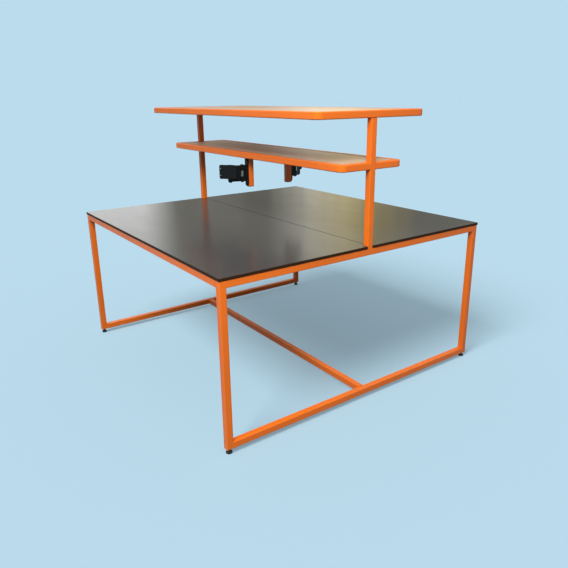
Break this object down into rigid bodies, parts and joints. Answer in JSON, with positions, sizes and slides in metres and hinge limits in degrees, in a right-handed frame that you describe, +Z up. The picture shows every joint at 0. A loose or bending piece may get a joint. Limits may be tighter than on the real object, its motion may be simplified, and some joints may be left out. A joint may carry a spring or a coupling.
{
  "type": "benching desk",
  "caption": "Shared benching desk on a welded square-tube frame, with seamed tops, raised shelves on end posts and swivelling monitor brackets under the lower shelf.",
  "frame": {"origin": "on the floor under the middle of the desk", "axes": "+X along the seam towards the right end frame, -Y towards the front user, +Z up"},
  "size_m": [1.55, 1.5, 1.31],
  "materials": {
    "orange_powder_coat": "satin powder coat",
    "desktop_board": "dark satin laminate with black edge",
    "shelf_board": "pale grey-brown satin laminate",
    "black_powder_coat": "black powder coat",
    "black_plastic": "moulded",
    "zinc_steel": "zinc plated",
    "blackened_steel": "black oxide"
  },
  "bodies": {
    "frame": {"leg_left_front": "orange_powder_coat", "leg_left_back": "orange_powder_coat", "end_rail_left": "orange_powder_coat", "floor_rail_left": "orange_powder_coat", "post_left": "orange_powder_coat", "leg_right_front": "orange_powder_coat", "leg_right_back": "orange_powder_coat", "end_rail_right": "orange_powder_coat", "floor_rail_right": "orange_powder_coat", "post_right": "orange_powder_coat", "side_rail_front": "orange_powder_coat", "side_rail_back": "orange_powder_coat", "seam_beam": "orange_powder_coat", "floor_stretcher": "orange_powder_coat", "lower_ring_front": "orange_powder_coat", "lower_ring_back": "orange_powder_coat", "lower_bar_left": "orange_powder_coat", "lower_bar_middle": "orange_powder_coat", "lower_bar_right": "orange_powder_coat", "upper_ring_front": "orange_powder_coat", "upper_ring_back": "orange_powder_coat", "upper_bar_left": "orange_powder_coat", "upper_bar_middle": "orange_powder_coat", "upper_bar_right": "orange_powder_coat", "drop_post_front": "orange_powder_coat", "drop_post_back": "orange_powder_coat", "desktop_front": "desktop_board", "desktop_back": "desktop_board", "lower_shelf_board": "shelf_board", "upper_shelf_board": "shelf_board", "wall_bracket_front": "black_powder_coat", "wall_bracket_back": "black_powder_coat", "drop_plug_front": "black_plastic", "drop_plug_back": "black_plastic", "foot_insert_left_front": "black_plastic", "foot_insert_left_back": "black_plastic", "foot_insert_right_front": "black_plastic", "foot_insert_right_back": "black_plastic", "brake_block_front": "zinc_steel", "brake_block_back": "zinc_steel", "wall_bolt_front_1": "blackened_steel", "wall_bolt_front_2": "blackened_steel", "swivel_pin_front": "blackened_steel", "wall_bolt_back_1": "blackened_steel", "wall_bolt_back_2": "blackened_steel", "swivel_pin_back": "blackened_steel"},
    "link_front_body": {"link_front": "black_powder_coat", "head_pin_front": "blackened_steel"},
    "head_front_body": {"swivel_head_front": "black_powder_coat", "tilt_axle_front": "blackened_steel"},
    "plate_front_body": {"monitor_plate_front": "black_powder_coat"},
    "link_back_body": {"link_back": "black_powder_coat", "head_pin_back": "blackened_steel"},
    "head_back_body": {"swivel_head_back": "black_powder_coat", "tilt_axle_back": "blackened_steel"},
    "plate_back_body": {"monitor_plate_back": "black_powder_coat"},
    "foot_left_front_body": {"foot_left_front": "black_plastic"},
    "foot_left_back_body": {"foot_left_back": "black_plastic"},
    "foot_right_front_body": {"foot_right_front": "black_plastic"},
    "foot_right_back_body": {"foot_right_back": "black_plastic"}
  },
  "joints": [
    {"name": "link_swing_front", "type": "hinge", "parent": "frame", "child": "link_front_body", "pos_m": [0, -0.1675, 0.9942], "axis": [0, 0, 1], "range_deg": [-57, 93]},
    {"name": "head_swivel_front", "type": "hinge", "parent": "link_front_body", "child": "head_front_body", "pos_m": [-0.01916, -0.22647, 0.9942], "axis": [0, 0, 1], "range_deg": [-133, 17]},
    {"name": "plate_tilt_front", "type": "hinge", "parent": "head_front_body", "child": "plate_front_body", "pos_m": [-0.00347, -0.24516, 1.0077], "axis": [0.766, 0.6428, 0], "range_deg": [-20, 20]},
    {"name": "link_swing_back", "type": "hinge", "parent": "frame", "child": "link_back_body", "pos_m": [0, 0.1675, 0.9942], "axis": [0, 0, 1], "range_deg": [-112, 38]},
    {"name": "head_swivel_back", "type": "hinge", "parent": "link_back_body", "child": "head_back_body", "pos_m": [-0.03731, 0.21702, 0.9942], "axis": [0, 0, 1], "range_deg": [-120, 30]},
    {"name": "plate_tilt_back", "type": "hinge", "parent": "head_back_body", "child": "plate_back_body", "pos_m": [-0.06148, 0.22041, 1.0077], "axis": [-0.1392, -0.9903, 0], "range_deg": [-20, 20]},
    {"name": "foot_level_left_front", "type": "slide", "parent": "frame", "child": "foot_left_front_body", "axis": [0, 0, -1], "range_m": [0, 0.012]},
    {"name": "foot_level_left_back", "type": "slide", "parent": "frame", "child": "foot_left_back_body", "axis": [0, 0, -1], "range_m": [0, 0.012]},
    {"name": "foot_level_right_front", "type": "slide", "parent": "frame", "child": "foot_right_front_body", "axis": [0, 0, -1], "range_m": [0, 0.012]},
    {"name": "foot_level_right_back", "type": "slide", "parent": "frame", "child": "foot_right_back_body", "axis": [0, 0, -1], "range_m": [0, 0.012]}
  ]
}
